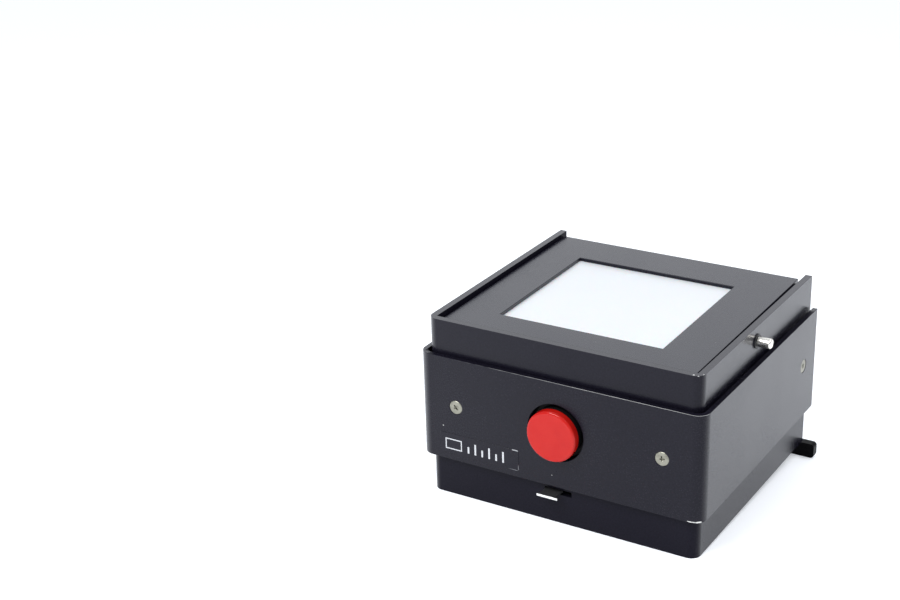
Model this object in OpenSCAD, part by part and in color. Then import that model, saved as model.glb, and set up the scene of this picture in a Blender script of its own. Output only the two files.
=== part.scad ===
// Light-mixing box of a photographic enlarger, for the 24 x 36 mm format.
// +X is the box's right, +Y its back, +Z the side where the lamp's light enters.
// The origin is the centre of the box's outline, on its lower face.

/* [Shell] */
// Outer width of the U-shaped shell
shell_w = 114.3; // [108:0.1:116]
// Depth of the shell from its front face to its open back
shell_d = 107.6; // [104:0.05:112]
// Height of the shell
shell_h = 74.2; // [72:0.1:84]
// Thickness of the shell's walls
shell_wall = 2.8; // [2.4:0.1:3.4]
// Outer radius of the two front corners
shell_r = 4; // [3:0.5:8]

/* [Cover band] */
// Outer width of the band around the shell
band_w = 120; // [119.6:0.1:121]
// Depth of the band
band_d = 110.9; // [110.5:0.1:114]
// Height of the band's lower edge
band_z = 16.85; // [15.5:0.05:18]
// Height of the band itself
band_h = 43.55; // [42:0.05:46]
// Thickness of the band's sheet
band_wall = 2; // [1.8:0.1:2.2]
// Outer radius of the band's front corners
band_r = 5; // [4:0.5:6]

/* [Top plate] */
// Height of the plate's upper face
plate_top = 72.5; // [72:0.1:73]
// Thickness of the plate
plate_t = 1.5; // [1:0.1:1.6]
// Width of the plate
plate_w = 105.8; // [104:0.1:106]
// Depth of the plate
plate_d = 102.6; // [100:0.1:102.8]
// How far the loose plate sits turned in its recess, in degrees
plate_turn = 0.4; // [0:0.1:0.5]
// Width of the window in the plate
window_w = 68.8; // [64:0.1:70]
// Depth of the window
window_d = 67.2; // [64:0.1:70]
// Sideways place of the light's axis
light_x = -1.7; // [-2:0.1:2]

/* [Light chamber] */
// Thickness of the white reflector panels
panel_t = 2; // [1.5:0.1:2.2]
// Thickness of the opal sheets
opal_t = 3; // [2:0.1:3]
// Width of the exit opening
exit_w = 40; // [38:0.5:44]
// Depth of the exit opening
exit_d = 28; // [26:0.5:32]

/* [Button] */
// Height of the button's centre
button_z = 39.65; // [39:0.1:41]
// Diameter of the red cap
cap_dia = 20.6; // [20:0.1:22]
// How far the cap stands out of the band
cap_proud = 4.1; // [4:0.1:4.6]
// Diameter of the round hole around the cap
button_hole = 23.5; // [23:0.1:24]
// Travel of the button
press_travel = 4; // [3:0.1:4]

/* [Latch] */
// Thickness of the latch's sheet
latch_t = 1; // [0.8:0.1:1.2]
// Height of the tongue's lower face
tongue_z = 12.75; // [12.6:0.05:13]
// How far the tongue stands out past the band's front face
tongue_proud = 2.8; // [2:0.1:4]
// Sideways travel of the latch
latch_travel = 4.2; // [3:0.1:4.2]

/* [Pin and rear bar] */
// Diameter of the side pin
pin_dia = 4; // [3:0.1:4]
// How far the pin stands out of the shell's right wall
pin_out = 6.05; // [5:0.05:8]
// Length of the rear bar
bar_l = 125; // [122:0.5:126]
// Height of the rear bar
bar_h = 6.3; // [5:0.1:7]

/* [Hidden] */
$fn = 64;
eps = 0.01;
big = 200;

// faces of the band and of the shell
band_front = -band_d / 2;
band_gap = (band_w - shell_w) / 2 - band_wall;
shell_front = band_front + band_wall + 0.75;
shell_back = shell_front + shell_d;
inner_front = shell_front + shell_wall;
inner_x = shell_w / 2 - shell_wall;
band_inner_front = band_front + band_wall;
band_inner_x = band_w / 2 - band_wall;

// the top plate, its window and the sheets under it
plate_z = plate_top - plate_t;
plate_x = inner_x - 2.15 - plate_w / 2;
plate_y = inner_front + 0.5 + plate_d / 2;
ledge_w = 4;
ledge_h = 2;
entry_margin = 4.6;
clip_lap = 1.8;

// the floor of the box and the light chamber
floor_z = 1;
floor_t = 2;
chamber_bottom = floor_z + floor_t + opal_t;
chamber_top = plate_z - opal_t;
chamber_half = [[window_w / 2 + 0.2, window_d / 2 + 0.2], [exit_w / 2, exit_d / 2]];

// the screws of the exit mask, from the light's axis
mask_screw = [28, 22];

// the back panel and the ribs that carry it
panel_back_y = 52;
back_t = 1.5;
rib_w = 4;
rib_y = [46.5, panel_back_y - back_t - 0.1];
back_screw_x = inner_x - rib_w / 2;
back_screw_z = [12, 60];

// the cover's screws: M3 countersunk, with cross recesses
m3_head = 5.6;
m3_sink = 6;
m3_hole = 3.2;
screw_dia = 2.9;
tap_dia = 3;
cover_front_x = 43.6;
cover_front_z = 39.9;
cover_side_y = 42.55;
cover_side_z = 40.1;

// the format label on the band
label_corner = [-51, 19.5];
label_size = [35.1, 8.7];
label_t = 0.15;

// corner posts under the floor's screws
post_r = 4;
post_x = inner_x - 4.5;
post_y = [-44.5, 41];
post_h = 10;

// the button's parts, from front to back
cap_front = band_front - cap_proud;
cap_l = 3.4;
cap_wall = 1.6;
cap_edge_r = 1;
cap_back = cap_front + cap_l;
flange_front = band_front + 3.95;
flange_t = 2.5;
flange_end = flange_front + flange_t;
housing_floor_y = -38.5;
housing_floor_t = 1.5;
housing_boss_end = -35;
housing_wall = 1.5;
stem_dia = 6;
stem_end = -33;
groove_y = housing_boss_end + 0.1;
clip_t = 0.7;
ear_x = 19;
ear_boss_end = -45.4;
ear_t = 2;
peg_dia = 3;
peg_y = -47;
peg_bottom = 20.6;
lug_drop = [10.6, 8.4];

// the latch's slide, guided by two shouldered screws
leaf_y = inner_front + 0.1;
leaf_half = 26;
leaf_top = 22;
cam_flange_w = 18;
cam_flange_end = -38;
guide_x = 18;
guide_z = 17;
tongue_x = [-5.9, 1];
tongue_tip_x = [-6.7, 2.2];
tongue_slot_x = [-6.1, 5.4];
tongue_slot_z = [12.15, 14.4];
spring_lug_x = 36;
latch_spring_y = -46.4;
latch_spring_z = 16.7;

// the pin on the right wall
pin_y = -2.4;
pin_z = 68.4;
pin_shank = 3;
collar_dia = 5.8;
collar_l = 0.5;

// the rear bar hangs below the box
bar_top = -0.6;
bar_y = [54.4, 58];
bar_web_half = 48;
bar_web_top = 12;
bar_web_y = [panel_back_y + 0.05, 56.5];
bar_screw_x = 30;
bar_screw_z = 6.9;

// Extrudes an XZ outline along Y, from y0 to y1.
module along_y(y0, y1) {
    translate([0, y1, 0]) rotate([90, 0, 0]) linear_extrude(y1 - y0) children();
}

// A round rod along Y, from y0 to y1.
module rod_y(d, y0, y1, x = 0, z = 0) {
    along_y(y0, y1) translate([x, z]) circle(d = d);
}

// A round rod along X, from x0 to x1.
module rod_x(d, x0, x1, y = 0, z = 0) {
    translate([x0, y, z]) rotate([0, 90, 0]) cylinder(d = d, h = x1 - x0);
}

// A box between two corners.
module between(low, high) {
    translate(low) cube(high - low);
}

// A straight slot with round ends between two points.
module slot2d(a, b, d) {
    hull() for (p = [a, b]) translate(p) circle(d = d, $fn = 32);
}

// A rectangle centred on the light's axis.
module light_rect(w, d) {
    translate([light_x - w / 2, -d / 2]) square([w, d]);
}

// A rectangle from y0 to y1 with its two front corners rounded.
module front_rounded(w, y0, y1, r) {
    translate([-w / 2, y0 + r]) square([w, y1 - y0 - r]);
    translate([-w / 2 + r, y0]) square([w - 2 * r, y1 - y0]);
    for (side = [-1, 1]) translate([side * (w / 2 - r), y0 + r]) circle(r);
}

// A U-shaped wall, open at the back.
module u_wall(w, y0, y1, r, t) {
    difference() {
        front_rounded(w, y0, y1, r);
        front_rounded(w - 2 * t, y0 + t, y1 + 1, r - t + eps);
    }
}

// Places its children, drawn along +Z from the surface inwards, at the cover's four screws.
module at_cover_screws(front_y, side_x) {
    for (side = [-1, 1]) {
        translate([side * cover_front_x, front_y, cover_front_z]) rotate([-90, 0, 0]) children();
        translate([side * side_x, cover_side_y, cover_side_z]) rotate([0, -90 * side, 0]) children();
    }
}

// The cross recess of a screw head, cut from z = 0 upwards.
module cross_recess(reach, depth) {
    for (turn = [0, 90]) rotate(turn) translate([-reach / 2, -0.45, -eps]) cube([reach, 0.9, depth]);
}

// A countersunk screw with its head's face at z = 0, pointing along +Z.
module countersunk_screw(head, shank, length) {
    head_h = (head - shank) / 2;
    difference() {
        union() {
            cylinder(d1 = head, d2 = shank, h = head_h);
            cylinder(d = shank, h = length);
        }
        cross_recess(head * 0.56, head * 0.2);
    }
}

// A pan-head screw with its head below z = 0 and its shank along +Z.
module pan_screw(head, head_h, shank, length) {
    difference() {
        union() {
            translate([0, 0, -head_h]) cylinder(d = head, h = head_h);
            translate([0, 0, -eps]) cylinder(d = shank, h = length);
        }
        translate([0, 0, -head_h]) cross_recess(head * 0.56, head_h * 0.6);
    }
}

// The points of one ring of wire at angle a of a coil along +Z.
function wire_ring(r, wire, lead, a, sides) = [
    for (k = [0:sides - 1]) let (b = k * 360 / sides, q = r + wire / 2 * cos(b))
        [q * cos(a), q * sin(a), lead * a / 360 + wire / 2 * sin(b)]
];

// A compression spring along +Z, from z = 0 to z = length.
module coil_spring(dia, wire, length, turns) {
    sides = 8;
    per_turn = 18;
    rings = turns * per_turn;
    r = (dia - wire) / 2;
    lead = (length - wire) / turns;
    points = [for (i = [0:rings]) each wire_ring(r, wire, lead, i * 360 / per_turn, sides)];
    walls = [
        for (i = [0:rings - 1]) for (k = [0:sides - 1]) let (n = (k + 1) % sides)
            [i * sides + k, i * sides + n, (i + 1) * sides + n, (i + 1) * sides + k]
    ];
    ends = [[for (k = [sides - 1:-1:0]) k], [for (k = [0:sides - 1]) rings * sides + k]];
    translate([0, 0, wire / 2]) polyhedron(points, concat(walls, ends), convexity = 10);
}

// One mitred panel of the light chamber; turn 0 is the front panel.
module reflector(side) {
    swap = side % 2;
    long = [chamber_half[0][swap], chamber_half[1][swap]];
    deep = [chamber_half[0][1 - swap], chamber_half[1][1 - swap]];
    z = [chamber_top, chamber_bottom];
    points = [
        for (end = [0, 1]) for (grow = [0, panel_t]) for (way = [-1, 1])
            [way * (long[end] + grow), -deep[end] - grow, z[end]]
    ];
    faces = [[0, 2, 3, 1], [4, 5, 7, 6], [0, 1, 5, 4], [2, 6, 7, 3], [0, 4, 6, 2], [1, 3, 7, 5]];
    translate([light_x, 0, 0]) rotate(side * 90) polyhedron(points, faces);
}

// The screw bosses, ledges, ribs and posts moulded on the inside of the shell.
module shell_inside() {
    // bosses behind the cover's screws
    at_cover_screws(inner_front - eps, inner_x + eps) cylinder(d = 7, h = 4);
    // bosses for the button's housing
    for (side = [-1, 1])
        rod_y(7, inner_front - eps, ear_boss_end, side * ear_x, button_z);
    // ledge that carries the top plate, with a gap at the pin
    for (side = [-1, 1])
        difference() {
            between([min(side * inner_x, side * (inner_x - ledge_w)), inner_front - eps, plate_z - ledge_h],
                [max(side * inner_x, side * (inner_x - ledge_w)), rib_y[1], plate_z]);
            if (side > 0)
                between([inner_x - ledge_w - 1, pin_y - 4, plate_z - ledge_h - 1],
                    [inner_x + eps, pin_y + 4, plate_z + 1]);
        }
    between([-inner_x, inner_front - eps, plate_z - ledge_h], [inner_x, inner_front + ledge_w, plate_z]);
    // ribs in front of the back panel
    for (side = [-1, 1])
        translate([side * (inner_x - rib_w / 2), 0, 0])
            between([-rib_w / 2 - eps, rib_y[0], floor_z + floor_t + 0.1],
                [rib_w / 2 + eps, rib_y[1], plate_z - eps]);
    // posts for the floor's screws
    for (side = [-1, 1], y = post_y)
        translate([side * post_x, y, floor_z + floor_t + 0.05]) {
            cylinder(r = post_r, h = post_h);
            translate([side > 0 ? 0 : -4.5 - eps, -post_r, 0]) cube([4.5 + eps, 2 * post_r, post_h]);
        }
    // lug that the latch's spring pushes against
    between([spring_lug_x, inner_front - eps, 12.5], [spring_lug_x + 2, -43.5, 21]);
}

// The holes in the shell's walls, bosses, ribs and posts.
module shell_holes() {
    at_cover_screws(shell_front - eps, shell_w / 2 + eps) cylinder(d = tap_dia, h = 6.4);
    rod_y(button_hole, shell_front - 1, inner_front + 1, 0, button_z);
    between([tongue_slot_x[0], shell_front - 1, tongue_slot_z[0]],
        [tongue_slot_x[1], inner_front + 1, tongue_slot_z[1]]);
    for (side = [-1, 1]) {
        rod_y(2.6, -50.5, ear_boss_end + 1, side * ear_x, button_z);
        rod_y(tap_dia, -52, inner_front + 1, side * guide_x, guide_z);
        for (z = back_screw_z)
            rod_y(2.6, rib_y[1] - 7.5, rib_y[1] + 1, side * back_screw_x, z);
        for (y = post_y)
            translate([side * post_x, y, 0]) cylinder(d = 2.6, h = post_h + 1);
    }
    rod_x(pin_shank + 0.1, inner_x - 1, shell_w / 2 + 1, pin_y, pin_z);
}

module body_shell() {
    color([0.12, 0.12, 0.13]) difference() {
        union() {
            linear_extrude(shell_h) u_wall(shell_w, shell_front, shell_back, shell_r, shell_wall);
            shell_inside();
        }
        shell_holes();
    }
}

module cover_band() {
    color([0.16, 0.16, 0.17]) difference() {
        translate([0, 0, band_z]) linear_extrude(band_h)
            u_wall(band_w, band_front, band_d / 2, band_r, band_wall);
        rod_y(button_hole, band_front - 1, band_front + band_wall + 1, 0, button_z);
        at_cover_screws(band_front - eps, band_w / 2 + eps) {
            cylinder(d = m3_hole, h = band_wall + 1);
            cylinder(d1 = m3_sink, d2 = m3_hole, h = (m3_sink - m3_hole) / 2);
        }
    }
}

module cover_spacers() {
    color([0.2, 0.2, 0.2]) {
        for (side = [-1, 1]) {
            translate([side * cover_front_x, band_inner_front, cover_front_z]) rotate([-90, 0, 0])
                spacer(shell_front - band_inner_front);
            translate([side * band_inner_x, cover_side_y, cover_side_z]) rotate([0, -90 * side, 0])
                spacer(band_gap);
        }
    }
}

module spacer(h) {
    linear_extrude(h) difference() {
        circle(d = 9);
        circle(d = m3_hole);
    }
}

module cover_screws() {
    color([0.7, 0.7, 0.66]) at_cover_screws(band_front + 0.1, band_w / 2 - 0.1)
        countersunk_screw(m3_head - 0.2, screw_dia, 8);
}

module format_label() {
    color([0.1, 0.1, 0.1]) along_y(band_front - label_t, band_front)
        translate(label_corner) square(label_size);
}

module back_panel() {
    color([0.13, 0.13, 0.13]) difference() {
        between([-inner_x + 0.15, panel_back_y - back_t, floor_z + floor_t + 0.1],
            [inner_x - 0.15, panel_back_y, plate_z - 0.1]);
        for (side = [-1, 1]) {
            for (z = back_screw_z)
                rod_y(3, panel_back_y - back_t - 1, panel_back_y + 1, side * back_screw_x, z);
            rod_y(4.3, panel_back_y - back_t - 1, panel_back_y + 1, side * bar_screw_x, bar_screw_z);
        }
    }
}

module back_panel_screws() {
    color([0.7, 0.7, 0.66]) for (side = [-1, 1], z = back_screw_z)
        translate([side * back_screw_x, panel_back_y, z]) rotate([90, 0, 0]) pan_screw(3.7, 1.6, 2.5, 8);
}

module top_plate() {
    color([0.48, 0.48, 0.48]) difference() {
        translate([plate_x, plate_y, plate_z]) rotate(plate_turn)
            linear_extrude(plate_t) square([plate_w, plate_d], center = true);
        translate([0, 0, plate_z - 1]) linear_extrude(plate_t + 2) rotate(plate_turn)
            light_rect(window_w, window_d);
    }
}

module entry_diffuser() {
    color([0.96, 0.97, 1]) translate([0, 0, chamber_top]) linear_extrude(opal_t)
        light_rect(window_w + 2 * entry_margin, window_d + 2 * entry_margin);
}

// A spring clip under the top plate that holds one edge of the upper opal sheet.
module diffuser_clip(edge) {
    along_y(-6, 6) polygon([
        [edge + 0.1, plate_z], [edge + 7, plate_z], [edge + 7, plate_z - 1], [edge + 1.1, plate_z - 1],
        [edge + 1.1, chamber_top - 1], [edge - clip_lap, chamber_top - 1], [edge - clip_lap, chamber_top],
        [edge + 0.1, chamber_top]
    ]);
}

module diffuser_clips() {
    color([0.75, 0.75, 0.74]) translate([light_x, 0, 0]) {
        for (turn = [0, 180]) rotate(turn) diffuser_clip(window_w / 2 + entry_margin);
        for (turn = [90, 270]) rotate(turn) diffuser_clip(window_d / 2 + entry_margin);
    }
}

module front_reflector() {
    color([0.95, 0.95, 0.95]) reflector(0);
}

module right_reflector() {
    color([0.95, 0.95, 0.95]) reflector(1);
}

module back_reflector() {
    color([0.95, 0.95, 0.95]) reflector(2);
}

module left_reflector() {
    color([0.95, 0.95, 0.95]) reflector(3);
}

module bottom_plate() {
    color([0.1, 0.1, 0.1]) difference() {
        translate([0, 0, floor_z]) linear_extrude(floor_t) difference() {
            front_rounded(2 * inner_x - 0.3, inner_front + 0.1, panel_back_y, 1.5);
            light_rect(exit_w, exit_d);
        }
        for (side = [-1, 1]) {
            for (y = post_y)
                translate([side * post_x, y, 0]) cylinder(d = 3, h = 5);
            for (way = [-1, 1])
                translate([light_x + side * mask_screw.x, way * mask_screw.y, 0]) cylinder(d = 2.2, h = 5);
        }
    }
}

module bottom_screws() {
    color([0.7, 0.7, 0.66]) for (side = [-1, 1], y = post_y)
        translate([side * post_x, y, floor_z]) pan_screw(4.6, 0.95, 2.5, 8);
}

module exit_diffuser() {
    color([0.96, 0.97, 1]) translate([0, 0, floor_z + floor_t]) linear_extrude(opal_t)
        light_rect(exit_w + 10, exit_d + 10);
}

module exit_mask() {
    color([0.1, 0.1, 0.1]) difference() {
        linear_extrude(floor_z) difference() {
            light_rect(exit_w + 24, exit_d + 24);
            light_rect(exit_w - 2, exit_d - 2);
        }
        at_mask_screws() cylinder(d = 2.2, h = 3, center = true);
        at_mask_screws() translate([0, 0, -eps]) cylinder(d1 = 3.9, d2 = 2.2, h = 0.85);
    }
}

// Places its children at the four screws of the exit mask.
module at_mask_screws() {
    for (side = [-1, 1], way = [-1, 1])
        translate([light_x + side * mask_screw.x, way * mask_screw.y, 0]) children();
}

module exit_mask_screws() {
    color([0.7, 0.7, 0.66]) at_mask_screws() translate([0, 0, 0.05]) countersunk_screw(3.7, 2, 4.5);
}

module button_cap() {
    color([0.85, 0.2, 0.17]) translate([0, cap_front, button_z]) rotate([-90, 0, 0]) rotate_extrude()
        difference() {
            union() {
                square([cap_dia / 2 - cap_edge_r, cap_l]);
                translate([0, cap_edge_r]) square([cap_dia / 2, cap_l - cap_edge_r]);
                translate([cap_dia / 2 - cap_edge_r, cap_edge_r]) circle(cap_edge_r);
            }
            translate([-1, cap_wall]) square([cap_dia / 2 - cap_wall + 1, cap_l]);
            translate([-cap_dia, -1]) square([cap_dia, cap_l + 2]);
        }
}

module button_plunger() {
    color([0.15, 0.15, 0.15]) {
        difference() {
            union() {
                rod_y(cap_dia - 2 * cap_wall - 0.1, cap_front + cap_wall, cap_back, 0, button_z);
                rod_y(cap_dia - 0.6, cap_back, flange_front + eps, 0, button_z);
                rod_y(button_hole - 0.4, flange_front, flange_end, 0, button_z);
                rod_y(stem_dia, flange_end - eps, stem_end, 0, button_z);
            }
            along_y(groove_y - 0.05, groove_y + clip_t + 0.05) translate([0, button_z]) difference() {
                circle(d = stem_dia + 2);
                circle(d = stem_dia - 1);
            }
        }
        // lug and peg that drive the latch
        between([-1.8, flange_end - eps, button_z - lug_drop[0]], [1.8, peg_y + 1.8, button_z - lug_drop[1]]);
        translate([0, peg_y, peg_bottom]) cylinder(d = peg_dia, h = button_z - 9 - peg_bottom);
    }
}

module button_spring() {
    color([0.72, 0.72, 0.7]) translate([0, flange_end, button_z]) rotate([-90, 0, 0])
        coil_spring(11, 0.9, housing_floor_y - flange_end, 5);
}

module button_housing() {
    color([0.15, 0.15, 0.15]) difference() {
        union() {
            rod_y(button_hole + 2 * housing_wall, inner_front, housing_floor_y + housing_floor_t, 0, button_z);
            rod_y(stem_dia + 5, housing_floor_y, housing_boss_end, 0, button_z);
            between([-ear_x - 4, ear_boss_end, button_z - 4.5], [ear_x + 4, ear_boss_end + ear_t, button_z + 4.5]);
        }
        rod_y(button_hole, inner_front - 1, housing_floor_y, 0, button_z);
        rod_y(stem_dia + 0.1, housing_floor_y - 1, housing_boss_end + 1, 0, button_z);
        // way for the plunger's peg
        between([-2.2, inner_front - 1, button_z - button_hole], [2.2, -41.2, button_z]);
        for (side = [-1, 1])
            rod_y(2.7, ear_boss_end - 1, ear_boss_end + ear_t + 1, side * ear_x, button_z);
    }
}

module housing_screws() {
    color([0.7, 0.7, 0.66]) for (side = [-1, 1])
        translate([side * ear_x, ear_boss_end + ear_t, button_z]) rotate([90, 0, 0])
            pan_screw(4.6, 1.8, 2.5, 6.5);
}

module button_clip() {
    color([0.6, 0.6, 0.6]) along_y(groove_y, groove_y + clip_t) translate([0, button_z]) difference() {
        circle(d = 11);
        circle(d = stem_dia - 0.9);
        translate([-1.8, 0]) square([3.6, 8]);
    }
}

module latch_slide() {
    leaf_back = leaf_y + latch_t;
    tip_y = band_front - tongue_proud;
    color([0.16, 0.16, 0.16]) difference() {
        union() {
            between([-leaf_half, leaf_y, tongue_z], [leaf_half, leaf_back, leaf_top]);
            between([-cam_flange_w / 2, leaf_y, leaf_top - latch_t],
                [cam_flange_w / 2, cam_flange_end, leaf_top]);
            between([tongue_x[0], tip_y, tongue_z], [tongue_x[1], leaf_back, tongue_z + latch_t]);
            between([tongue_tip_x[0], tip_y, tongue_z], [tongue_tip_x[1], tip_y + 1, tongue_z + latch_t]);
            between([leaf_half - latch_t, leaf_y, 13.2], [leaf_half, -43.8, 20.2]);
        }
        // the oblique cam slot
        translate([0, 0, leaf_top - latch_t - 1]) linear_extrude(latch_t + 2)
            slot2d([0, peg_y], [-latch_travel, peg_y + press_travel], peg_dia + 0.2);
        // the two guide slots
        along_y(leaf_y - 1, leaf_back + 1) for (side = [-1, 1])
            slot2d([side * guide_x - latch_travel, guide_z], [side * guide_x, guide_z], m3_hole);
    }
}

module latch_screws() {
    color([0.7, 0.7, 0.66]) for (side = [-1, 1])
        translate([side * guide_x, leaf_y + latch_t + 0.1, guide_z]) rotate([90, 0, 0])
            pan_screw(6, 1.8, screw_dia, 3);
}

module latch_spring() {
    color([0.72, 0.72, 0.7]) translate([leaf_half, latch_spring_y, latch_spring_z]) rotate([0, 90, 0])
        coil_spring(4.6, 0.6, spring_lug_x - leaf_half, 7);
}

module side_pin() {
    tip = shell_w / 2 + pin_out;
    round_r = 0.7;
    free = pin_out - collar_l - 0.15;
    length = tip - inner_x + 1.6;
    color([0.82, 0.82, 0.79]) translate([tip, pin_y, pin_z]) rotate([0, -90, 0]) rotate_extrude()
        difference() {
            union() {
                square([pin_shank / 2, length]);
                translate([0, round_r]) square([pin_dia / 2, free - round_r]);
                square([pin_dia / 2 - round_r, free]);
                translate([pin_dia / 2 - round_r, round_r]) circle(round_r);
            }
            // the clip's groove
            translate([pin_shank / 2 - 0.3, tip - inner_x + 0.05]) square([1, 0.7]);
        }
}

module pin_collar() {
    color([0.15, 0.15, 0.15]) translate([shell_w / 2, pin_y, pin_z]) rotate([0, 90, 0])
        linear_extrude(collar_l) difference() {
            circle(d = collar_dia);
            circle(d = pin_shank + 0.04);
        }
}

module pin_clip() {
    color([0.6, 0.6, 0.6]) translate([inner_x - 0.7, pin_y, pin_z]) rotate([0, 90, 0])
        linear_extrude(0.6) difference() {
            circle(d = 5);
            circle(d = pin_shank - 0.5);
            translate([0, -1.2]) square([4, 2.4]);
        }
}

module rear_bar() {
    corner = 1.5;
    color([0.1, 0.1, 0.1]) difference() {
        union() {
            along_y(bar_y[0], bar_y[1]) translate([0, bar_top - bar_h / 2]) {
                square([bar_l - 2 * corner, bar_h], center = true);
                square([bar_l, bar_h - 2 * corner], center = true);
                for (side = [-1, 1], way = [-1, 1])
                    translate([side * (bar_l / 2 - corner), way * (bar_h / 2 - corner)]) circle(corner);
            }
            between([-bar_web_half, bar_web_y[0], bar_top - bar_h], [bar_web_half, bar_web_y[1], bar_web_top]);
        }
        for (side = [-1, 1]) {
            rod_y(4.3, bar_web_y[0] - 1, bar_web_y[1] + 3, side * bar_screw_x, bar_screw_z);
            translate([side * bar_screw_x, bar_web_y[1] + eps, bar_screw_z]) rotate([90, 0, 0])
                cylinder(d1 = 7.7, d2 = 4.3, h = 1.7);
        }
    }
}

module rear_bar_screws() {
    color([0.3, 0.3, 0.3]) for (side = [-1, 1])
        translate([side * bar_screw_x, bar_web_y[1] - 0.1, bar_screw_z]) rotate([90, 0, 0])
            countersunk_screw(7.4, 3.9, 10);
}

module rear_bar_nuts() {
    color([0.7, 0.7, 0.66]) for (side = [-1, 1])
        along_y(panel_back_y - back_t - 3.2, panel_back_y - back_t)
            translate([side * bar_screw_x, bar_screw_z]) difference() {
                circle(d = 8.08, $fn = 6);
                circle(d = 4);
            }
}

body_shell();
cover_band();
cover_spacers();
cover_screws();
format_label();
back_panel();
back_panel_screws();
top_plate();
entry_diffuser();
diffuser_clips();
front_reflector();
back_reflector();
left_reflector();
right_reflector();
bottom_plate();
bottom_screws();
exit_diffuser();
exit_mask();
exit_mask_screws();
button_cap();
button_plunger();
button_spring();
button_housing();
housing_screws();
button_clip();
latch_slide();
latch_screws();
latch_spring();
side_pin();
pin_collar();
pin_clip();
rear_bar();
rear_bar_screws();
rear_bar_nuts();
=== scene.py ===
"""Light-mixing box of an enlarger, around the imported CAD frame. Metres; +Z is the lamp's side."""

import math

import bmesh
import bpy
from mathutils import Matrix, Vector


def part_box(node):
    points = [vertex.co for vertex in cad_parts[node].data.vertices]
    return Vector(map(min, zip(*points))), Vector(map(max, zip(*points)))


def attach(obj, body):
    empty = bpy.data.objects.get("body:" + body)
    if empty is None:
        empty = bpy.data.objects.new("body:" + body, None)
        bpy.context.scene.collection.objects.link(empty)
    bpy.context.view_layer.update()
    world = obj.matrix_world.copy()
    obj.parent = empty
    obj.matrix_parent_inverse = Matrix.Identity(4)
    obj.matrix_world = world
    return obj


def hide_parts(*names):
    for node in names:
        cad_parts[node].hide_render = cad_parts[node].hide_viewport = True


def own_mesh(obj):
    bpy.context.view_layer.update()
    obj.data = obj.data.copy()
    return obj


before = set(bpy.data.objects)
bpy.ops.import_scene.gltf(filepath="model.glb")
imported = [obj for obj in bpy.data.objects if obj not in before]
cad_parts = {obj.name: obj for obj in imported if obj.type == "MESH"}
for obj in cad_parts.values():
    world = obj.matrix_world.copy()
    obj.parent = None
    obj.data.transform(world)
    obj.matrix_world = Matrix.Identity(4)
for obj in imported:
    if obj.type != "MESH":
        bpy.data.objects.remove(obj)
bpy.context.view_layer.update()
MM = 0.001
X, Y, Z = 0, 1, 2

# the sky: an even level, plus patches of (direction, sharpness, strength)
SKY_LEVEL = 0.62
SKY_LOBES = [
    ((-0.5, 0.8, 0.4), 4, 0.74),
]
# softboxes: name, position, target, size in metres, power in watts
SOFTBOXES = [
    ("right_softbox", (0.32, 0.18, 0.55), (0.18, 0.12, 0), (0.35, 0.35), 1.8),
    ("high_softbox", (-0.16, -0.46, 0.55), (0, -0.05, 0.05), (0.42, 0.3), 4.0),
]

# places and sizes in millimetres that the CAD boxes don't give
SHELL_WALL = 2.8
BAND_WALL = 2.0
BUTTON_HOLE = 23.5
COVER_SCREW_FRONT = (43.6, 39.9)
COVER_SCREW_SIDE = (42.55, 40.1)
COVER_SCREW_RADIUS = 2.75
COVER_SCREW_SHANK = 1.45
COVER_SCREW_LENGTH = 8.0
LATCH_SPRING_YZ = (-46.4, 16.7)
REAR_BAR_DEPTH = 3.6


# ---------------------------------------------------------------- camera, floor and light

def make_camera():
    """A long lens from the front right, above the box, as a hand-held camera saw it."""
    elevation, azimuth, roll = (math.radians(a) for a in (23.247, 31.152, -1.237))
    back = Vector((
        math.sin(azimuth) * math.cos(elevation),
        -math.cos(azimuth) * math.cos(elevation),
        math.sin(elevation),
    ))
    right = Vector((math.cos(azimuth), math.sin(azimuth), 0))
    up = back.cross(right)
    rolled_right = math.cos(roll) * right + math.sin(roll) * up
    rolled_up = math.cos(roll) * up - math.sin(roll) * right
    data = bpy.data.cameras.new("camera")
    data.sensor_width = 36
    data.lens = 66.41
    data.shift_x = -0.0437
    data.shift_y = 0.0152
    data.clip_start = 0.01
    camera = bpy.data.objects.new("camera", data)
    place = Matrix((rolled_right, rolled_up, back)).transposed().to_4x4()
    place.translation = Vector((264.55, -538.69, 325.11)) * MM
    camera.matrix_world = place
    bpy.context.scene.collection.objects.link(camera)
    bpy.context.scene.camera = camera


def floor_line():
    """The two edges that the box rests on: the shell's lower front edge and the rear bar's lower edge."""
    shell_low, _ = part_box("body_shell")
    bar_low, bar_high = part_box("rear_bar")
    bar_edge_y = bar_high[1] - REAR_BAR_DEPTH * MM
    return Vector((0, shell_low[1], shell_low[2])), Vector((0, bar_edge_y, bar_low[2]))


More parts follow.
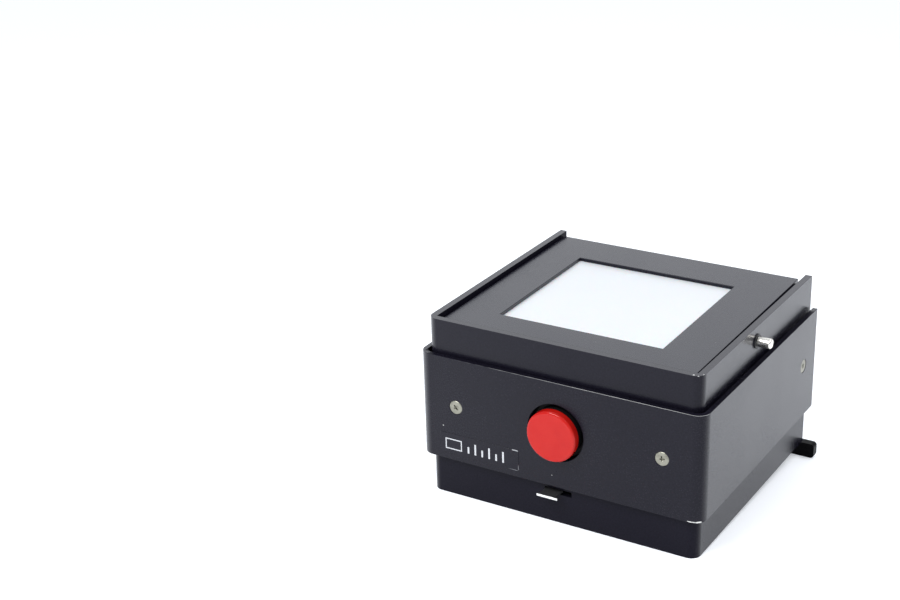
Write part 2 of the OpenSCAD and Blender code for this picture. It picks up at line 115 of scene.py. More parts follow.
def make_floor():
    """A white paper floor, tilted in the CAD frame because the box leans forward on it."""
    front, rear = floor_line()
    slope = math.atan2(rear.z - front.z, rear.y - front.y)
    half = 25.0
    mesh = bpy.data.meshes.new("floor")
    corners = [(-half, -half, 0), (half, -half, 0), (half, half, 0), (-half, half, 0)]
    mesh.from_pydata(corners, [], [(0, 1, 2, 3)])
    floor = bpy.data.objects.new("floor", mesh)
    floor.matrix_world = Matrix.Translation(front) @ Matrix.Rotation(slope, 4, "X")
    bpy.context.scene.collection.objects.link(floor)
    material = bpy.data.materials.new("floor_paper")
    material.use_nodes = True
    shader = material.node_tree.nodes["Principled BSDF"]
    shader.inputs["Base Color"].default_value = (0.84, 0.86, 0.89, 1)
    shader.inputs["Roughness"].default_value = 0.85
    shader.inputs["Specular IOR Level"].default_value = 0.2
    shader.inputs["Emission Color"].default_value = (0.93, 0.955, 1.0, 1)
    shader.inputs["Emission Strength"].default_value = 0.37
    floor.data.materials.append(material)


def area_light(name, position, target, size, power):
    data = bpy.data.lights.new(name, "AREA")
    data.shape = "RECTANGLE"
    data.size, data.size_y = size
    data.energy = power
    lamp = bpy.data.objects.new(name, data)
    lamp.location = position
    lamp.rotation_euler = (Vector(target) - Vector(position)).to_track_quat("-Z", "Y").to_euler()
    bpy.context.scene.collection.objects.link(lamp)


def sky_math(tree, operation, a, b):
    """A math node on a node output and a number or another output."""
    made = tree.nodes.new("ShaderNodeMath")
    made.operation = operation
    tree.links.new(a, made.inputs[0])
    if isinstance(b, (int, float)):
        made.inputs[1].default_value = b
    else:
        tree.links.new(b, made.inputs[1])
    return made.outputs[0]


def sky_lobe(tree, direction, sharpness, strength):
    """A soft bright patch of sky round one direction, as a node output."""
    place = tree.nodes.new("ShaderNodeTexCoord")
    dot = tree.nodes.new("ShaderNodeVectorMath")
    dot.operation = "DOT_PRODUCT"
    dot.inputs[1].default_value = Vector(direction).normalized()
    tree.links.new(place.outputs["Generated"], dot.inputs[0])
    value = dot.outputs["Value"]
    for operation, number in (("MAXIMUM", 0.0), ("POWER", sharpness), ("MULTIPLY", strength)):
        value = sky_math(tree, operation, value, number)
    return value


def make_light():
    """A bright studio: an even sky with a brighter patch behind the box, and two softboxes above it."""
    world = bpy.data.worlds.new("studio")
    world.use_nodes = True
    tree = world.node_tree
    background = tree.nodes["Background"]
    background.inputs["Color"].default_value = (0.93, 0.955, 1.0, 1)
    level = SKY_LEVEL
    for lobe in SKY_LOBES:
        level = sky_math(tree, "ADD", sky_lobe(tree, *lobe), level)
    tree.links.new(level, background.inputs["Strength"])
    bpy.context.scene.world = world
    for name, position, target, size, power in SOFTBOXES:
        area_light(name, position, target, size, power)
    view = bpy.context.scene.view_settings
    view.view_transform = "Standard"
    view.look = "None"


# ---------------------------------------------------------------- materials

class Shader:
    """A principled material that is wired up with short calls."""

    def __init__(self, name):
        self.material = bpy.data.materials.new(name)
        self.material.use_nodes = True
        self.tree = self.material.node_tree
        self.principled = self.tree.nodes["Principled BSDF"]
        self.place = self.node("ShaderNodeTexCoord").outputs["Object"]

    def node(self, kind, **settings):
        made = self.tree.nodes.new(kind)
        for key, value in settings.items():
            setattr(made, key, value)
        return made

    def link(self, source, target):
        self.tree.links.new(source, target)

    def put(self, **values):
        """Sets the shader's own sockets; an underscore in a name stands for a space."""
        for key, value in values.items():
            self.principled.inputs[key.replace("_", " ")].default_value = value

    def drive(self, socket, output):
        """Links an output to one of the shader's own sockets."""
        self.link(output, self.principled.inputs[socket])

    def noise(self, scale, detail=2.0, roughness=0.5, stretch=None):
        made = self.node("ShaderNodeTexNoise")
        made.inputs["Scale"].default_value = scale
        made.inputs["Detail"].default_value = detail
        made.inputs["Roughness"].default_value = roughness
        source = self.place
        if stretch:
            mapping = self.node("ShaderNodeMapping")
            mapping.inputs["Scale"].default_value = stretch
            self.link(self.place, mapping.inputs["Vector"])
            source = mapping.outputs["Vector"]
        self.link(source, made.inputs["Vector"])
        return made.outputs["Fac"]

    def math(self, operation, a, b=None, clamp=False):
        made = self.node("ShaderNodeMath", operation=operation, use_clamp=clamp)
        for socket, value in zip(made.inputs, (a, b)):
            if value is None:
                continue
            if isinstance(value, (int, float)):
                socket.default_value = value
            else:
                self.link(value, socket)
        return made.outputs[0]

    def remap(self, value, low, high, to_low=0.0, to_high=1.0):
        """A value carried from one range to another and clamped to it."""
        made = self.node("ShaderNodeMapRange", clamp=True)
        self.link(value, made.inputs["Value"])
        limits = {"From Min": low, "From Max": high, "To Min": to_low, "To Max": to_high}
        for key, number in limits.items():
            made.inputs[key].default_value = number
        return made.outputs["Result"]

    def mix(self, factor, a, b):
        """A colour between a and b."""
        made = self.node("ShaderNodeMix", data_type="RGBA")
        self.link(factor, made.inputs["Factor"])
        for socket, value in ((made.inputs[6], a), (made.inputs[7], b)):
            if isinstance(value, tuple):
                socket.default_value = (*value, 1)
            else:
                self.link(value, socket)
        return made.outputs[2]

    def bump(self, height, strength, distance):
        """Fine relief on the whole material; distance is in metres."""
        made = self.node("ShaderNodeBump")
        made.inputs["Strength"].default_value = strength
        made.inputs["Distance"].default_value = distance
        self.link(height, made.inputs["Height"])
        self.drive("Normal", made.outputs["Normal"])

    def sheen_of_lacquer(self, facing, grazing, shade_mask=None):
        """A satin face reflects weakly when seen squarely and more strongly when seen at a slant."""
        weight = self.node("ShaderNodeLayerWeight")
        weight.inputs["Blend"].default_value = 0.5
        level = self.remap(weight.outputs["Facing"], 0.2, 0.55, facing, grazing)
        # painted shade: inside the shade mask the reflectivity drops to 6 %, which darkens the face
        if shade_mask is not None:
            level = self.math("MULTIPLY", level, self.remap(shade_mask, 0, 1, 1, 0.06))
        self.put(Specular_IOR_Level=(facing + grazing) / 2)
        self.drive("Specular IOR Level", level)

    def specks(self, per_metre, radius_mm, share):
        """1 inside sparse round specks, such as dust: share of the cells hold one."""
        cell = self.node("ShaderNodeTexVoronoi")
        cell.inputs["Scale"].default_value = per_metre
        self.link(self.place, cell.inputs["Vector"])
        reach = radius_mm * MM * per_metre
        dot = self.remap(cell.outputs["Distance"], reach * 0.6, reach, 1, 0)
        pick = self.node("ShaderNodeSeparateColor")
        self.link(cell.outputs["Color"], pick.inputs[0])
        chosen = self.math("LESS_THAN", pick.outputs[0], share)
        return self.math("MULTIPLY", dot, chosen)

    def within(self, axis, low_mm, high_mm, soft_mm=0.04):
        """1 between two places along an axis, fading over soft_mm outside them."""
        split = self.node("ShaderNodeSeparateXYZ")
        self.link(self.place, split.inputs[0])
        value = split.outputs[axis]
        rising = self.remap(value, (low_mm - soft_mm) * MM, low_mm * MM)
        falling = self.remap(value, high_mm * MM, (high_mm + soft_mm) * MM, 1, 0)
        return self.math("MULTIPLY", rising, falling)

    def all_of(self, *masks):
        """1 where all the masks are."""
        result = masks[0]
        for mask in masks[1:]:
            result = self.math("MULTIPLY", result, mask)
        return result

    def any_of(self, *masks):
        """1 where any of the masks is."""
        result = masks[0]
        for mask in masks[1:]:
            result = self.math("MAXIMUM", result, mask)
        return result

    def inside_walls(self, half_width_mm, front_mm):
        """1 on and behind the inner faces of a U-shaped wall."""
        reach = half_width_mm + 0.05
        return self.all_of(self.within(X, -reach, reach), self.within(Y, front_mm - 0.05, 100))

    def near_axis_y(self, x_mm, z_mm, radius_mm):
        """1 within a radius of a line along Y."""
        flat = self.node("ShaderNodeVectorMath", operation="MULTIPLY_ADD")
        flat.inputs[1].default_value = (1, 0, 1)
        flat.inputs[2].default_value = (-x_mm * MM, 0, -z_mm * MM)
        self.link(self.place, flat.inputs[0])
        length = self.node("ShaderNodeVectorMath", operation="LENGTH")
        self.link(flat.outputs["Vector"], length.inputs[0])
        return self.math("LESS_THAN", length.outputs["Value"], radius_mm * MM)

    def spot(self, centre_mm, turn_z, reach_mm, ragged=1.0):
        """1 inside a ragged spot: an ellipsoid round a point, turned about Z."""
        mapping = self.node("ShaderNodeMapping", vector_type="TEXTURE")
        mapping.inputs["Location"].default_value = [v * MM for v in centre_mm]
        mapping.inputs["Rotation"].default_value = (0, 0, turn_z)
        mapping.inputs["Scale"].default_value = [v * MM for v in reach_mm]
        self.link(self.place, mapping.inputs["Vector"])
        length = self.node("ShaderNodeVectorMath", operation="LENGTH")
        self.link(mapping.outputs["Vector"], length.inputs[0])
        wobble = self.math("MULTIPLY", self.noise(1100, 4, 0.7), ragged)
        return self.remap(self.math("ADD", length.outputs["Value"], wobble), 1.05, 1.25, 1, 0)


def black_finish(name, colour, roughness, grain, specular=(0.2, 0.6), dust=0.5, chips=(), wear_and_highlight_edge=None,
        shaded_face=None, bare=(0.72, 0.72, 0.70)):
    """Satin black lacquer or moulding: fine grain, faint smears, dust, and chips down to a bare colour.

    The first mask function gives real wear and painted highlights, both drawn in the bare colour. The
    second gives painted shade, where the reflectivity is cut. Both are functions of the shader that
    return a mask."""
    s = Shader(name)
    shade_mask = shaded_face(s) if shaded_face else None
    s.sheen_of_lacquer(*specular, shade_mask)
    fine = s.noise(1500, 5, 0.72)
    smear = s.noise(28, 5, 0.6)
    lighter = tuple(min(1, c * 1.7 + 0.004) for c in colour)
    tone = s.mix(s.remap(fine, 0.3, 0.7), colour, lighter)
    tone = s.mix(s.math("MULTIPLY", s.remap(smear, 0.52, 0.75), 0.3), tone, lighter)
    if dust:
        motes = s.math("MULTIPLY", s.specks(130, 0.16, 0.22), dust)
        tone = s.mix(motes, tone, (0.35, 0.35, 0.34))
    # painted highlights come through this mask together with the real wear, drawn in the bare colour
    worn = wear_and_highlight_edge(s) if wear_and_highlight_edge else None
    for centre, turn, reach in chips:
        patch = s.spot(centre, turn, reach)
        worn = patch if worn is None else s.math("MAXIMUM", worn, patch)
    if worn is not None:
        tone = s.mix(worn, tone, bare)
    s.drive("Base Color", tone)
    fine_rough = s.remap(fine, 0.25, 0.75, -0.05, 0.05)
    smear_rough = s.remap(smear, 0.3, 0.7, roughness - 0.03, roughness + 0.04)
    s.drive("Roughness", s.math("ADD", fine_rough, smear_rough))
    s.bump(fine, grain, 0.00007)
    return s.material


def opal():
    """Opal acrylic: a cool white with a satin face and very faint clouding."""
    s = Shader("opal_acrylic")
    s.put(Roughness=0.32, Specular_IOR_Level=0.45, Subsurface_Weight=0.15, Subsurface_Scale=0.002)
    cloud = s.noise(18, 3)
    white = s.mix(s.remap(cloud, 0.35, 0.7), (0.565, 0.585, 0.605), (0.58, 0.60, 0.62))
    s.drive("Base Color", white)
    s.bump(s.noise(900, 2), 0.05, 0.00003)
    return s.material


def red_plastic():
    """Glossy moulded red, with the faint waviness of a moulding."""
    s = Shader("red_button_plastic")
    s.put(Specular_IOR_Level=0.26)
    drift = s.noise(140, 3)
    red = s.mix(s.remap(drift, 0.3, 0.7), (0.43, 0.006, 0.004), (0.47, 0.010, 0.006))
    s.drive("Base Color", red)
    s.drive("Roughness", s.remap(s.noise(900, 4), 0.3, 0.7, 0.08, 0.13))
    s.bump(s.noise(160, 2), 0.05, 0.0001)
    return s.material


def plain_plastic(name, colour, roughness, specular=0.4):
    """A plain moulding, paint or ink: a faint mottle, and a gloss that varies a little."""
    s = Shader(name)
    s.put(Specular_IOR_Level=specular)
    fine = s.noise(1800, 3)
    lighter = tuple(min(1, c * 1.15 + 0.003) for c in colour)
    s.drive("Base Color", s.mix(s.remap(fine, 0.3, 0.7), colour, lighter))
    gloss = s.remap(s.noise(60, 4), 0.3, 0.7, roughness - 0.05, roughness + 0.06)
    s.drive("Roughness", gloss)
    s.bump(fine, 0.15, 0.00004)
    return s.material


def metal(name, colour, roughness, stretch=(1, 1, 1), bump=0.15, stained=0.72):
    """Plated or drawn metal with fine marks along one direction."""
    s = Shader(name)
    s.put(Metallic=1.0)
    marks = s.noise(1500, 4, 0.6, stretch)
    stain = s.noise(400, 4)
    duller = tuple(c * stained for c in colour)
    s.drive("Base Color", s.mix(s.remap(stain, 0.45, 0.75), colour, duller))
    s.drive("Roughness", s.remap(marks, 0.3, 0.7, roughness - 0.06, roughness + 0.1))
    s.bump(marks, bump, 0.00003)
    return s.material


# ---------------------------------------------------------------- meshes

# the faces of a box whose corners are listed ring by ring
BOX_FACES = ((3, 2, 1, 0), (4, 5, 6, 7), (0, 1, 5, 4), (1, 2, 6, 5), (2, 3, 7, 6), (3, 0, 4, 7))


def new_piece(name, mesh, body, slot, materials, *nodes):
    """A mesh as a piece that rides on a body and stands in for the CAD nodes named last."""
    piece = bpy.data.objects.new(name, mesh)
    bpy.context.scene.collection.objects.link(piece)
    for material in materials:
        mesh.materials.append(material)
    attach(piece, body)
    if nodes:
        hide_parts(*nodes)
    return piece


def smooth(piece, angle=32):
    """Smooth shading that keeps flat faces flat and true corners sharp."""
    mesh = piece.data
    mesh.shade_smooth()
    mesh.set_sharp_from_angle(angle=math.radians(angle))
    normals = piece.modifiers.new("normals", "WEIGHTED_NORMAL")
    normals.keep_sharp = True
    normals.weight = 80


def mesh_from(name, vertices, faces):
    mesh = bpy.data.meshes.new(name)
    mesh.from_pydata([tuple(v) for v in vertices], [], faces)
    mesh.validate()
    work = bmesh.new()
    work.from_mesh(mesh)
    bmesh.ops.recalc_face_normals(work, faces=work.faces)
    work.to_mesh(mesh)
    work.free()
    return mesh


def clean_copy(node):
    """The CAD node's solid as an editable mesh with one face for each flat face."""
    work = bmesh.new()
    work.from_mesh(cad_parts[node].data)
    bmesh.ops.remove_doubles(work, verts=work.verts, dist=0.002 * MM)
    bmesh.ops.dissolve_limit(work, angle_limit=math.radians(0.4), verts=work.verts, edges=work.edges)
    return work


def refined(node, edge_mm, body, slot, material, segments=2, corner=30):
    """The CAD node's shape with its corners rounded to edge_mm."""
    work = clean_copy(node)
    corners = [
        e for e in work.edges
        if len(e.link_faces) == 2 and e.calc_face_angle(0) > math.radians(corner)
    ]
    bmesh.ops.bevel(
        work, geom=corners, offset=edge_mm * MM, segments=segments, profile=0.5,
        affect="EDGES", clamp_overlap=True,
    )
    mesh = bpy.data.meshes.new(node + "_refined")
    work.to_mesh(mesh)
    work.free()
    piece = new_piece(node + "_refined", mesh, body, slot, [material], node)
    smooth(piece)
    return piece


def lathe_mesh(name, profile, place, steps=72):
    """A solid turned about local Z from (radius, height) points; place carries it into the frame."""
    vertices, faces, rings = [], [], []
    for radius, height in profile:
        if radius < 1e-7:
            rings.append([len(vertices)])
            vertices.append(place @ Vector((0, 0, height)))
            continue
        rings.append(list(range(len(vertices), len(vertices) + steps)))
        for k in range(steps):
            a = 2 * math.pi * k / steps
            vertices.append(place @ Vector((radius * math.cos(a), radius * math.sin(a), height)))
    for low, high in zip(rings, rings[1:]):
        for k in range(steps):
            n = (k + 1) % steps
            if len(low) == 1 and len(high) == 1:
                continue
            if len(low) == 1:
                faces.append((low[0], high[n], high[k]))
            elif len(high) == 1:
                faces.append((low[k], low[n], high[0]))
            else:
                faces.append((low[k], low[n], high[n], high[k]))
    return mesh_from(name, vertices, faces)


def arc(centre, radius, start, end, steps):
    """Points along an arc in a profile, in degrees."""
    return [
        (
            centre[0] + radius * math.cos(math.radians(start + (end - start) * k / steps)),
            centre[1] + radius * math.sin(math.radians(start + (end - start) * k / steps)),
        )
        for k in range(steps + 1)
    ]


def facing(origin, direction):
    """A place whose local +Z points along direction."""
    place = Vector(direction).to_track_quat("Z", "Y").to_matrix().to_4x4()
    place.translation = Vector(origin)
    return place


def middle(node):
    low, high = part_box(node)
    return (Vector(low) + Vector(high)) / 2


def in_mm(node):
    """The lower and the upper corner of a CAD node, in millimetres."""
    return [[v / MM for v in corner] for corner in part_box(node)]


# ---------------------------------------------------------------- pieces

def button_cap(material):
    """The red cap: a flat face with a soft edge, and a short rim over the plunger behind it."""
    low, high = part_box("button_cap")
    centre = middle("button_cap")
    radius = (high[0] - low[0]) / 2
    length = high[1] - low[1]
    edge = 1.0 * MM
    wall = 1.6 * MM
    crown = 0.08 * MM
    face = [(radius * k / 8 * (1 - edge / radius), -crown * (1 - (k / 8) ** 2)) for k in range(8)]
    profile = [(r, z + crown) for r, z in face]
    profile += [(r, z + crown) for r, z in arc((radius - edge, edge), edge, -90, 0, 10)]
    profile += [(radius, length - 0.2 * MM), (radius - 0.2 * MM, length), (radius - wall, length)]
    profile += [(radius - wall, wall + 0.2 * MM), (radius - wall - 0.2 * MM, wall), (0, wall)]
    place = facing((centre.x, low[1], centre.z), (0, 1, 0))
    mesh = lathe_mesh("button_cap_turned", profile, place, 96)
    piece = new_piece("button_cap_turned", mesh, "button", "button_red", [material], "button_cap")
    smooth(piece, 40)


def cross_cutters(reach, width, depth, place):
    """The two tapered bars of a screw's cross recess, with their mouth at z = 0."""
    mouth = (-0.2 * MM, reach * 1.06, width * 1.05)
    bottom = (depth, reach * 0.42, width * 0.62)
    cutters = []
    for turn in (0, math.pi / 2):
        spin = place @ Matrix.Rotation(turn, 4, "Z")
        vertices = [
            spin @ Vector((x * long / 2, y * wide / 2, z))
            for z, long, wide in (mouth, bottom)
            for x, y in ((-1, -1), (1, -1), (1, 1), (-1, 1))
        ]
        cutters.append(mesh_from("cutter", vertices, BOX_FACES))
    return cutters


def countersunk_screws(node, heads, radius, shank, length, body, slot, material):
    """Countersunk screws with cross recesses; heads is a list of (face point, inward direction, turn)."""
    mouth = 0.18 * MM
    meshes = []
    for number, (origin, inward, turn) in enumerate(heads):
        place = facing(origin, inward) @ Matrix.Rotation(turn, 4, "Z")
        profile = [(0, 0), (radius * 0.5, 0), (radius - 0.12 * MM, 0.01 * MM)]
        profile += [(radius, mouth * 0.6), (radius, mouth), (shank, mouth + radius - shank)]
        profile += [(shank, length), (0, length)]
        mesh = lathe_mesh(f"{node}_{number}", profile, place, 56)
        screw = bpy.data.objects.new(mesh.name, mesh)
        bpy.context.scene.collection.objects.link(screw)
        for cutter_mesh in cross_cutters(radius * 0.9, radius * 0.24, radius * 0.26, place):
            cut(screw, cutter_mesh)
        meshes.append(screw)
    joined = bmesh.new()
    for screw in meshes:
        joined.from_mesh(screw.data)
        bpy.data.objects.remove(screw)
    mesh = bpy.data.meshes.new(node + "_fine")
    joined.to_mesh(mesh)
    joined.free()
    piece = new_piece(node + "_fine", mesh, body, slot, [material], node)
    smooth(piece, 30)


def cut(target, cutter_mesh):
    """Takes cutter_mesh's solid away from the target."""
    cutter = bpy.data.objects.new("cutter", cutter_mesh)
    bpy.context.scene.collection.objects.link(cutter)
    step = target.modifiers.new("cut", "BOOLEAN")
    step.operation = "DIFFERENCE"
    step.solver = "EXACT"
    step.object = cutter
    bpy.context.view_layer.update()
    result = bpy.data.meshes.new_from_object(target.evaluated_get(bpy.context.evaluated_depsgraph_get()))
    target.modifiers.clear()
    target.data = result
    bpy.data.objects.remove(cutter)


def cover_screws(material):
    """The band's four screws: two in its front and one near the back of each side."""
    low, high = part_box("cover_screws")
    front_x, front_z = (v * MM for v in COVER_SCREW_FRONT)
    side_y, side_z = (v * MM for v in COVER_SCREW_SIDE)
    heads = [((side * front_x, low[1], front_z), (0, 1, 0), 0.35 - 0.5 * side) for side in (-1, 1)]
    heads += [((side * high[0], side_y, side_z), (-side, 0, 0), 0.9) for side in (-1, 1)]
    countersunk_screws("cover_screws", heads, COVER_SCREW_RADIUS * MM, COVER_SCREW_SHANK * MM,
        COVER_SCREW_LENGTH * MM, "box", "nickel", material)


def side_pin(material):
    """The turned pin with its rounded end."""
    low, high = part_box("side_pin")
    centre = middle("side_pin")
    length = high[0] - low[0]
    radius = (high[2] - low[2]) / 2
    end = 0.8 * MM
    free = high[0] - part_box("pin_collar")[1][0] - 0.15 * MM
    shank = 1.5 * MM
    profile = [(0, 0), (radius - end, 0.02 * MM)]
    profile += arc((radius - end, end), end, -90, 0, 8)
    profile += [(radius, free - 0.1 * MM), (radius - 0.1 * MM, free), (shank, free)]
    profile += [(shank, length - 0.3 * MM), (shank - 0.3 * MM, length), (0, length)]
    place = facing((high[0], centre.y, centre.z), (-1, 0, 0))
    mesh = lathe_mesh("side_pin_turned", profile, place, 64)
    piece = new_piece("side_pin_turned", mesh, "box", "pin_nickel", [material], "side_pin")
    smooth(piece, 40)


def pin_collar(material):
    """The dark collar where the pin leaves the wall."""
    low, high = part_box("pin_collar")
    centre = middle("pin_collar")
    length = high[0] - low[0]
    radius = (high[2] - low[2]) / 2
    bore = 1.52 * MM
    edge = 0.15 * MM
    profile = [(bore, 0), (radius - edge, 0)]
    profile += arc((radius - edge, edge), edge, -90, 0, 5)
    profile += [(radius, length), (bore, length), (bore, 0)]
    place = facing((high[0], centre.y, centre.z), (-1, 0, 0))
    piece = new_piece("pin_collar_turned", lathe_mesh("pin_collar_turned", profile, place, 64), "box",
        "housing_black", [material], "pin_collar")
    smooth(piece, 40)


def coil(node, body, start, direction, outer, wire, length, turns, material):
    """A compression spring with closed ends."""
    sides, per_turn = 12, 30
    place = facing(start, direction)
    radius = (outer - wire) / 2
    steps = turns * per_turn
    closed = per_turn * 0.8
    travel = [0.0]
    for k in range(steps):
        near_end = min(k, steps - k) / closed
        travel.append(travel[-1] + 0.35 + 0.65 * min(1, near_end) ** 2)
    rise = (length - wire) / travel[-1]
    vertices, faces = [], []
    for k in range(steps + 1):
        a = 2 * math.pi * k / per_turn
        for j in range(sides):
            b = 2 * math.pi * j / sides
            reach = radius + wire / 2 * math.cos(b)
            height = wire / 2 + travel[k] * rise + wire / 2 * math.sin(b)
            vertices.append(place @ Vector((reach * math.cos(a), reach * math.sin(a), height)))
    for k in range(steps):
        for j in range(sides):
            n = (j + 1) % sides
            a, b = k * sides, (k + 1) * sides
            faces.append((a + j, a + n, b + n, b + j))
    faces.append(tuple(reversed(range(sides))))
    faces.append(tuple(steps * sides + j for j in range(sides)))
    mesh = mesh_from(node + "_wire", vertices, faces)
    piece = new_piece(node + "_wire", mesh, body, "spring_steel", [material], node)
    smooth(piece, 50)
    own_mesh(piece)


def springs(material):
    """The springs behind the button and beside the latch; the far end of each stands still."""
    low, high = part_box("button_spring")
    length = high[1] - low[1]
    start = (middle("button_spring").x, low[1], middle("button_cap").z)
    coil("button_spring", "box", start, (0, 1, 0),
        11 * MM, 0.9 * MM, length, 5, material)
    low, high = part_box("latch_spring")
    length = high[0] - low[0]
    spring_y, spring_z = (v * MM for v in LATCH_SPRING_YZ)
    coil("latch_spring", "box", (low[0], spring_y, spring_z), (1, 0, 0),
        4.6 * MM, 0.6 * MM, length, 7, material)


def rounded_outline(low, high, corner):
    """Points (x, z) round a rectangle with rounded corners."""
    outline = []
    corners = ((high.x, high.z, 0), (low.x, high.z, 90), (low.x, low.z, 180), (high.x, low.z, 270))
    for cx, cz, start in corners:
        sx = -1 if cx == high.x else 1
        sz = -1 if cz == high.z else 1
        outline += arc((cx + sx * corner, cz + sz * corner), corner, start, start + 90, 4)
    return outline


def label_film_piece(film):
    """The film, with rounded corners and a softened front edge."""
    low, high = (Vector(corner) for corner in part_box("format_label"))
    front, back = low.y, high.y
    outline = rounded_outline(low, high, 0.8 * MM)
    count = len(outline)
    ease = 0.05 * MM
    centre = (low + high) / 2
    vertices = []
    for depth, inset in ((back, 0), (front + ease, 0), (front, ease)):
        for x, z in outline:
            inset_x = math.copysign(inset, x - centre.x)
            inset_z = math.copysign(inset, z - centre.z)
            vertices.append(Vector((x - inset_x, depth, z - inset_z)))
    faces = []
    for ring in (0, count):
        for k in range(count):
            n = (k + 1) % count
            faces.append((ring + k, ring + n, ring + count + n, ring + count + k))
    faces.append(tuple(range(count)))
    faces.append(tuple(reversed(range(2 * count, 3 * count))))
    mesh = mesh_from("format_label_film", vertices, faces)
    piece = new_piece("format_label_film", mesh, "box", "label_black", [film], "format_label")
    smooth(piece, 30)


def sign_bars(low):
    """The bars (x0, x1, z0, z1) of a neutral sign: a landscape outline and a row of upright bars."""
    line = 0.45 * MM
    left, base, tall = low.x + 2.4 * MM, low.z + 1.9 * MM, 4.6 * MM
    wide = 7.4 * MM
    bars = [
        (left, left + wide, base, base + line),
        (left, left + wide, base + tall - line, base + tall),
        (left, left + line, base + line, base + tall - line),
        (left + wide - line, left + wide, base + line, base + tall - line),
    ]
    for k in range(6):
        x = left + wide + 2.6 * MM + k * 3.1 * MM
        bars.append((x, x + 0.75 * MM, base, base + tall * (1.0 if k % 2 else 0.62)))
    return bars


def label_marks_piece(ink):
    """The sign printed on the film, as a thin raised layer."""
    low = Vector(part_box("format_label")[0])
    raised, sunk = 0.03 * MM, 0.01 * MM
    vertices, faces = [], []
    for x0, x1, z0, z1 in sign_bars(low):
        base = len(vertices)
        for y in (low.y - raised, low.y + sunk):
            for x, z in ((x0, z0), (x1, z0), (x1, z1), (x0, z1)):
                vertices.append(Vector((x, y, z)))
        faces.extend([[base + i for i in quad] for quad in BOX_FACES])
    mesh = mesh_from("format_label_marks", vertices, faces)
    marks = new_piece("format_label_marks", mesh, "box", "label_black", [ink])
    marks.data.shade_flat()


def latch(paint, bare):
    """The sheet-metal latch, with the tongue's front edge worn to bare metal."""
    piece = refined("latch_slide", 0.12, "latch", "latch_black", paint)
    piece.data.materials.append(bare)
    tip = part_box("latch_slide")[0][1]
    for face in piece.data.polygons:
        if face.center.y < tip + 0.1 * MM and abs(face.normal.y) > 0.5:
            face.material_index = 1


# ---------------------------------------------------------------- wear, painted highlights and painted shade

band_low, band_high = in_mm("cover_band")
shell_low, shell_high = in_mm("body_shell")
label_low, label_high = in_mm("format_label")
inner_x = shell_high[X] - SHELL_WALL
button = middle("button_cap") / MM
pin = middle("side_pin") / MM
hole_radius = BUTTON_HOLE / 2 + 0.1

# chips and scuffs: centre, turn about Z, reach along the turned axes
band_chips = (
    (
        (band_high[X] - 1.7, band_low[Y] + 1.1, band_low[Z] + 0.35),
        math.radians(42),
        (1.9, 0.9, 0.5),
    ),
    (
        (band_high[X] - 4.3, band_low[Y] + 0.1, band_low[Z] + 0.4),
        math.radians(12),
        (3.0, 0.6, 0.26),
    ),
    ((-49.5, band_low[Y], 31.0), 0.0, (0.35, 0.3, 0.22)),
    ((-1.5, band_low[Y], 21.5), 0.3, (0.3, 0.3, 0.16)),
)
shell_scuffs = (
    ((shell_high[X] - 1.6, shell_low[Y] + 0.5, shell_high[Z] - 0.1), 0.4, (0.8, 0.5, 0.3)),
    ((shell_high[X] - 3.6, shell_low[Y] + 0.8, shell_high[Z]), 0.1, (0.5, 0.4, 0.2)),
    ((shell_high[X] - 0.6, shell_low[Y] + 2.6, shell_high[Z] - 0.1), 1.2, (0.6, 0.3, 0.2)),
)


def band_edge_highlight_and_wear(s):
    """A painted highlight along the rounded top edge of the band's front, partly worn paint, brighter
    towards its right end.
    """
    edge = s.within(Z, band_high[Z] - 0.2, band_high[Z] - 0.1)
    near_front = s.within(Y, band_low[Y] - 1, band_low[Y] + 3.4, 1.2)
    to_the_right = s.within(X, 6, band_high[X] + 1, 62)
    broken = s.remap(s.math("ADD", to_the_right, s.noise(260, 4)), 0.8, 1.75, 0, 0.62)
    return s.all_of(edge, near_front, broken)


def band_painted_shade(s):
    """Painted shade inside the band and in the button's hole, where the reflectivity is cut; its top face
    also reflects less in front and on the right.
    """
    top = s.within(Z, band_high[Z] - 0.05, band_high[Z] + 1, 0.03)
    right_of_left_wall = s.within(X, band_low[X] + 5, band_high[X] + 1, 2)
    ahead_of_end = s.within(Y, band_low[Y] - 1, band_high[Y] - 4, 1)
    rim = s.all_of(top, right_of_left_wall, ahead_of_end)
    inside = s.inside_walls(band_high[X] - BAND_WALL, band_low[Y] + BAND_WALL)
    hole = s.near_axis_y(button.x, button.z, hole_radius)
    return s.any_of(rim, inside, hole)


def shell_painted_shade(s):
    """Painted shade: the shell reflects less inside, behind the band, in the button's hole and in a
    painted shadow by the pin's foot, and less again low down.
    """
    inside = s.inside_walls(inner_x, shell_low[Y] + SHELL_WALL)
    covered = s.within(Z, band_low[Z] + 0.5, band_high[Z] - 1, 0.4)
    below = s.math("MULTIPLY", s.within(Z, -1, band_low[Z] - 0.1, 0.1), 0.6)
    hole = s.near_axis_y(button.x, button.z, hole_radius)
    pin_foot = (shell_high[X], pin.y - 0.8, pin.z)
    pin_shadow = s.math("MULTIPLY", s.spot(pin_foot, 0, (1, 5, 2.8), 0.6), 0.75)
    return s.any_of(inside, covered, below, hole, pin_shadow)


def film_corner_glint(s):
    """The film's two right corners have lifted a little and catch the light."""
    right, top, bottom = label_high[X], label_high[Z], label_low[Z]
    dash = s.all_of(s.within(X, right - 2.6, right - 0.4, 0.3), s.within(Z, top - 0.3, top + 1))
    lower_edge = s.all_of(s.within(X, right - 2.6, right + 1, 2), s.within(Z, bottom - 1, bottom + 0.2))
    side_edge = s.all_of(s.within(X, right - 0.2, right + 1), s.within(Z, bottom - 1, bottom + 1.6, 1.2))
    faint = s.math("MULTIPLY", s.any_of(lower_edge, side_edge), 0.4)
    return s.any_of(dash, faint)


# ---------------------------------------------------------------- assembly

LACQUER = (0.0038, 0.0034, 0.0075)

make_camera()
make_floor()
make_light()

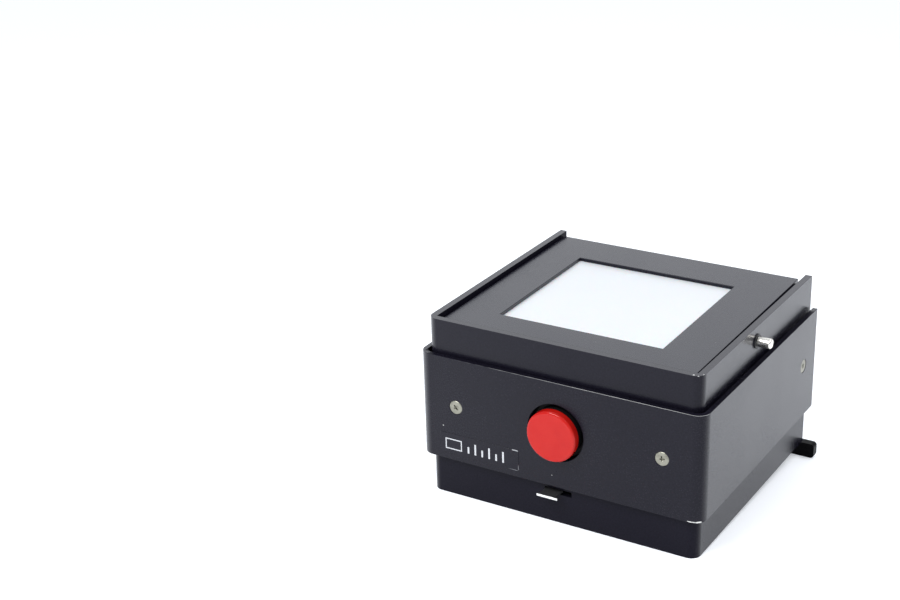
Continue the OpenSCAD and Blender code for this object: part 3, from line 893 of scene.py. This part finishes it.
shell_black = black_finish("shell_black", LACQUER, 0.22, 0.6, (0.16, 0.55),
    chips=shell_scuffs, shaded_face=shell_painted_shade)
band_black = black_finish("band_black", LACQUER, 0.24, 0.8, (0.16, 0.5),
    chips=band_chips, wear_and_highlight_edge=band_edge_highlight_and_wear, shaded_face=band_painted_shade)
plate_black = black_finish("plate_black", (0.004, 0.004, 0.009), 0.26, 0.35, (0.2, 0.6))
# painted shade: the rear bar gets a near-black colour and almost no reflection because it sits in the
# box's shadow
bar_black = black_finish("bar_black", (0.002, 0.002, 0.0025), 0.35, 0.4, specular=(0.01, 0.06))
housing_black = plain_plastic("housing_black", (0.012, 0.012, 0.013), 0.45)
opal_white = opal()
red = red_plastic()
nickel = metal("nickel_plate", (0.28, 0.274, 0.226), 0.34, stained=0.6)
pin_metal = metal("pin_nickel", (0.86, 0.84, 0.79), 0.24, stretch=(6, 1, 1), bump=0.06, stained=0.88)
spring_steel = metal("spring_steel", (0.55, 0.55, 0.56), 0.3)
bare_steel = metal("bare_steel", (0.92, 0.92, 0.9), 0.35)
white_paint = plain_plastic("reflector_white", (0.86, 0.86, 0.85), 0.7)
acetal = plain_plastic("plunger_black", (0.004, 0.004, 0.0045), 0.5, 0.12)
latch_paint = black_finish("latch_black", (0.02, 0.02, 0.021), 0.38, 0.3)

# the film's corner glint is a painted highlight, drawn in the grey bare colour
label_film = black_finish("label_film", LACQUER, 0.18, 0.1, (0.17, 0.5), dust=0.2,
    wear_and_highlight_edge=film_corner_glint, bare=(0.42, 0.43, 0.45))
label_ink = plain_plastic("label_ink", (0.50, 0.51, 0.53), 0.5)

refined("body_shell", 0.3, "box", "shell_black", shell_black)
refined("cover_band", 0.3, "box", "band_black", band_black)
refined("top_plate", 0.2, "box", "plate_black", plate_black)
refined("entry_diffuser", 0.2, "box", "opal", opal_white)
refined("back_panel", 0.15, "box", "plate_black", plate_black)
refined("bottom_plate", 0.15, "box", "plate_black", plate_black)
refined("exit_mask", 0.12, "box", "plate_black", plate_black)
refined("exit_diffuser", 0.2, "box", "opal", opal_white)
refined("rear_bar", 0.4, "box", "bar_black", bar_black)
refined("button_plunger", 0.15, "button", "plunger_black", acetal)
refined("button_housing", 0.15, "box", "housing_black", housing_black)
for name in ("front_reflector", "back_reflector", "left_reflector", "right_reflector"):
    refined(name, 0.1, "box", "reflector_white", white_paint)
for name in ("back_panel_screws", "bottom_screws", "exit_mask_screws", "rear_bar_screws", "rear_bar_nuts",
        "housing_screws", "latch_screws"):
    refined(name, 0.08, "box", "nickel", nickel)
for name in ("diffuser_clips", "pin_clip"):
    refined(name, 0.08, "box", "spring_steel", spring_steel)
refined("cover_spacers", 0.06, "box", "housing_black", housing_black)
refined("button_clip", 0.06, "button", "spring_steel", spring_steel)
latch(latch_paint, bare_steel)
button_cap(red)
cover_screws(nickel)
side_pin(pin_metal)
pin_collar(housing_black)
springs(spring_steel)
label_film_piece(label_film)
label_marks_piece(label_ink)
